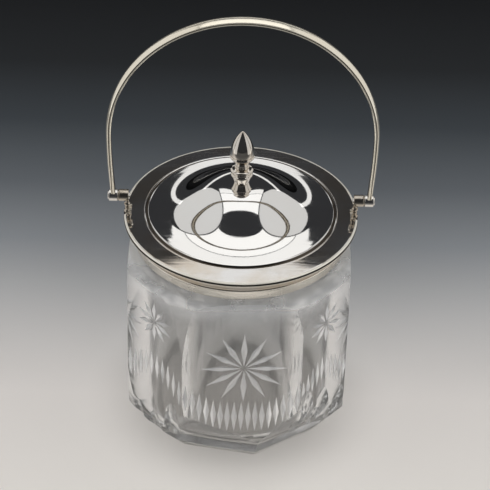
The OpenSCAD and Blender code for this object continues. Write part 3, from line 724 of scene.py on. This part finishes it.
# The top of the rolled edge takes a pale plate: a painted highlight.
lid.data.materials.append(painted_edge_highlight("lid_edge_painted_highlight"))
STEP_LINE, SHADED_FLANGE, EDGE_HIGHLIGHT = 1, 2, 3
STEP_IN_R, STEP_OUT_R, STEP_LINE_Z = 47.55, 48.85, 125.4
FLANGE_IN_R, EDGE_R, EDGE_Z = 49.2, 58.8, 124.1
LOOKS_UP = 0.5
for face in lid.data.polygons:
    r, z = face.center.to_2d().length / MM, face.center.z / MM
    if z > STEP_LINE_Z and STEP_IN_R < r < STEP_OUT_R:
        face.material_index = STEP_LINE
    elif face.normal.z > LOOKS_UP and FLANGE_IN_R < r < EDGE_R:
        face.material_index = SHADED_FLANGE
    elif z > EDGE_Z and r > EDGE_R:
        face.material_index = EDGE_HIGHLIGHT
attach(lid, "lid")
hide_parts("lid")

ring_silver = silver_plate("ring_silver_plate", (0.88, 0.85, 0.79), roughness=0.2, spread=0.1,
                           scratch=0.4, tarnish=0.2)
finish_with(nodes["lid_locating_ring"], ring_silver)


# ---------------------------------------------------------------- Finial
# A cast and turned acorn on a ringed base. A stud through the lid, with a washer and a nut
# below, pulls it down on the dome.

finial_silver = silver_plate("finial_silver_plate", (0.84, 0.80, 0.74), roughness=0.06, spread=0.06,
                             scratch=0.2, tarnish=0.20)
FINIAL_SIDES = 96
BASE_H, SEAT_R = 9.2, 3.7
NECK_Z = CROWN_Z + BASE_H
base = turned("finial_turned_base", [
    (STUD_R, CROWN_Z, 0), (3.6, CROWN_Z, 0.3), (4.1, CROWN_Z + 0.18 * BASE_H, 2),
    (5.1, CROWN_Z + 0.46 * BASE_H, 1), (5.5, CROWN_Z + 0.52 * BASE_H, 0.2),
    (5.5, CROWN_Z + 0.57 * BASE_H, 0.2), (4.8, CROWN_Z + 0.62 * BASE_H, 0.3),
    (4.9, CROWN_Z + 0.76 * BASE_H, 0.3), (5.8, CROWN_Z + 0.82 * BASE_H, 0.25),
    (5.8, CROWN_Z + 0.89 * BASE_H, 0.25), (5.0, CROWN_Z + 0.95 * BASE_H, 0.3),
    (SEAT_R, NECK_Z, 0.3), (STUD_R, NECK_Z, 0)], FINIAL_SIDES)
finish_with(base, finial_silver)
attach(base, "lid")
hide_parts("finial_base")

ACORN_R, ACORN_H, CUP_H = 6.4, 14.4, 7.4
CUP_Z = NECK_Z + CUP_H
NUT_STEPS, NUT_FULL, NUT_POINT, NUT_TUCK = 28, 1.7, 0.8, 0.04
nut_of_acorn = []
for k in range(NUT_STEPS):
    t = k / NUT_STEPS
    nut_r = ACORN_R * (1 - t ** NUT_FULL) ** NUT_POINT * (1 - NUT_TUCK * (1 - t) ** 8)
    nut_of_acorn.append((nut_r, CUP_Z + ACORN_H * t, 0))
acorn = turned("acorn_knob", [
    (0, CUP_Z + 0.05, 0), (STUD_R, CUP_Z + 0.05, 0), (STUD_R, NECK_Z, 0), (SEAT_R, NECK_Z, 0.3),
    (3.5, NECK_Z + 0.3 * CUP_H, 0.8), (3.8, NECK_Z + 0.5 * CUP_H, 0.4),
    (4.4, NECK_Z + 0.56 * CUP_H, 0.3), (5.8, CUP_Z - 1.5, 1.2), (6.3, CUP_Z - 0.9, 0.3),
    (6.4, CUP_Z - 0.4, 0.3), (6.05, CUP_Z - 0.05, 0.1),
    *nut_of_acorn, (0, CUP_Z + ACORN_H, 0)], FINIAL_SIDES)
finish_with(acorn, finial_silver)
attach(acorn, "lid")
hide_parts("acorn_finial")

for hidden in ("finial_stud", "finial_washer", "finial_nut"):
    finish_with(nodes[hidden], raw_nickel)


# ---------------------------------------------------------------- Floor, light and camera
# A pale sheet with painted light falloff behind the jar and a painted shadow under it, a soft
# ceiling, two soft walls of light, a lamp in front and a strip behind, and a long lens from above at the
# front.

def paper():
    """Matt paper with painted light: pale round the jar, darker with each hand's breadth behind it and
    towards its front edge, with a painted shadow under the jar.
    """
    made, shader, tree = material("backdrop_paper")
    place = node(tree, "ShaderNodeTexCoord").outputs["Object"]
    split = node(tree, "ShaderNodeSeparateXYZ", {"Vector": place})
    near, far = -0.50, 0.50
    away = node(tree, "ShaderNodeMapRange", {"Value": split.outputs["Y"], "From Min": near,
                                             "From Max": far})
    shade = node(tree, "ShaderNodeValToRGB", {"Fac": away.outputs["Result"]})
    # Painted light falloff: dark at the front edge, palest just in front of the jar, and darker behind
    # it.
    painted_falloff_tones = [(near, (0.10, 0.10, 0.10)), (-0.24, (0.14, 0.14, 0.14)), (-0.14, (0.60, 0.58, 0.56)),
             (-0.09, (0.78, 0.745, 0.70)), (0.0, (0.70, 0.665, 0.635)), (0.08, (0.445, 0.44, 0.437)),
             (0.14, (0.24, 0.253, 0.267)), (0.20, (0.119, 0.130, 0.142)), (0.27, (0.049, 0.056, 0.063)),
             (0.34, (0.023, 0.025, 0.027)), (far, (0.008, 0.008, 0.009))]
    ramp = shade.color_ramp.elements
    ramp[0].color = (*painted_falloff_tones[0][1], 1)
    ramp[1].color = (*painted_falloff_tones[-1][1], 1)
    for y, tone in painted_falloff_tones[1:-1]:
        ramp.new((y - near) / (far - near)).color = (*tone, 1)
    # A painted shadow: the paper is darker under the jar and fades to its full tone clear of it.
    under_jar, clear_of_jar, contact_shade = 0.040, 0.085, 0.72
    level_place = node(tree, "ShaderNodeVectorMath", {0: place, 1: (1, 1, 0)}, operation="MULTIPLY")
    from_jar = node(tree, "ShaderNodeVectorMath", {0: level_place.outputs["Vector"]}, operation="LENGTH")
    painted_contact_shadow = node(tree, "ShaderNodeMapRange", {"Value": from_jar.outputs["Value"],
                                                "From Min": under_jar, "From Max": clear_of_jar,
                                                "To Min": contact_shade, "To Max": 1.0},
                   interpolation_type="SMOOTHSTEP")
    toned = node(tree, "ShaderNodeVectorMath", {0: shade.outputs["Color"],
                                                "Scale": painted_contact_shadow.outputs["Result"]}, operation="SCALE")
    tree.links.new(toned.outputs["Vector"], shader.inputs["Base Color"])
    shader.inputs["Roughness"].default_value = 0.9
    shader.inputs["Specular IOR Level"].default_value = 0.1
    return made


SHEET_SIDE, SHEET_BACK = 3, 4
sheet_mesh = bmesh.new()
sheet_mesh.faces.new([sheet_mesh.verts.new(corner) for corner in (
    (-SHEET_SIDE, -SHEET_SIDE, 0), (SHEET_SIDE, -SHEET_SIDE, 0),
    (SHEET_SIDE, SHEET_BACK, 0), (-SHEET_SIDE, SHEET_BACK, 0))])
floor_sheet = mesh_piece("floor_sheet", sheet_mesh)
finish_with(floor_sheet, paper())


def soft_light(name, centre, aim, wide, tall, brightness):
    """A flat lamp of even brightness that looks from its centre to its aim."""
    lamp = bpy.data.lights.new(name, "AREA")
    lamp.shape = "RECTANGLE"
    lamp.size = wide
    lamp.size_y = tall
    lamp.energy = brightness * math.pi * wide * tall
    placed = bpy.data.objects.new(name, lamp)
    placed.location = centre
    placed.rotation_euler = (Vector(aim) - Vector(centre)).to_track_quat("-Z", "Y").to_euler()
    bpy.context.scene.collection.objects.link(placed)
    return placed


LID_Z, TENT_H, TENT_HALF = 0.125, 0.70, 0.37
TENT_TOP, CEILING_W = LID_Z + TENT_H, 2 * TENT_HALF - 0.02
WALL_Y, WALL_Z = 0.10, 0.43
soft_light("ceiling_light", (0, 0.13, TENT_TOP), (0, 0.13, 0), wide=CEILING_W, tall=0.60,
           brightness=1.0)
soft_light("ceiling_back_light", (0, 0.555, TENT_TOP), (0, 0.555, 0), wide=CEILING_W, tall=0.22,
           brightness=0.92)
for side, hand in ((-1, "left"), (1, "right")):
    soft_light(hand + "_light", (side * TENT_HALF, WALL_Y, WALL_Z), (0, WALL_Y, WALL_Z), wide=0.78,
               tall=0.74, brightness=0.62)
front = soft_light("front_light", (0, -1.75, 1.5), (0, 0, 0.05), wide=2.4, tall=1.3, brightness=4.2)
front.visible_glossy = False
soft_light("back_strip_light", (0, 1.6, 0.69), (0, 0, 0.3), wide=2.4, tall=0.20, brightness=0.8)

world = bpy.data.worlds.new("dim_room")
world.use_nodes = True
world.node_tree.nodes["Background"].inputs["Color"].default_value = (0.03, 0.031, 0.034, 1)
world.node_tree.nodes["Background"].inputs["Strength"].default_value = 1.0
bpy.context.scene.world = world
bpy.context.scene.view_settings.view_transform = "Standard"

FOCAL_PX, FRAME_PX, SENSOR_MM = 2105.54, 490, 36.0
LOOK_AT, LOOK_PX = Vector((0, 0, 0.125)), (240.9, 212.0)
DISTANCE, ELEVATION, ROLL = 1.08, math.radians(36.055), math.radians(1.5)
camera_place = LOOK_AT + DISTANCE * Vector((0, -math.cos(ELEVATION), math.sin(ELEVATION)))
across_px, down_px = LOOK_PX[0] - FRAME_PX / 2, LOOK_PX[1] - FRAME_PX / 2
level_x = across_px * math.cos(ROLL) + down_px * math.sin(ROLL)
level_y = -across_px * math.sin(ROLL) + down_px * math.cos(ROLL)
yaw = -math.atan2(level_x, FOCAL_PX) / math.cos(ELEVATION)
pitch = ELEVATION - math.atan2(level_y, FOCAL_PX)
ahead = Vector((math.sin(yaw) * math.cos(pitch), math.cos(yaw) * math.cos(pitch), -math.sin(pitch)))
level = Vector((math.cos(yaw), -math.sin(yaw), 0))
upright = level.cross(ahead)
right_axis = level * math.cos(ROLL) + upright * math.sin(ROLL)
up_axis = -level * math.sin(ROLL) + upright * math.cos(ROLL)
camera_turn = Matrix((right_axis, up_axis, -ahead)).transposed().to_4x4()
lens = bpy.data.cameras.new("camera")
lens.sensor_width = SENSOR_MM
lens.lens = FOCAL_PX / FRAME_PX * SENSOR_MM
lens.clip_start = 0.05
camera = bpy.data.objects.new("camera", lens)
camera.matrix_world = Matrix.Translation(camera_place) @ camera_turn
bpy.context.scene.collection.objects.link(camera)
bpy.context.scene.camera = camera
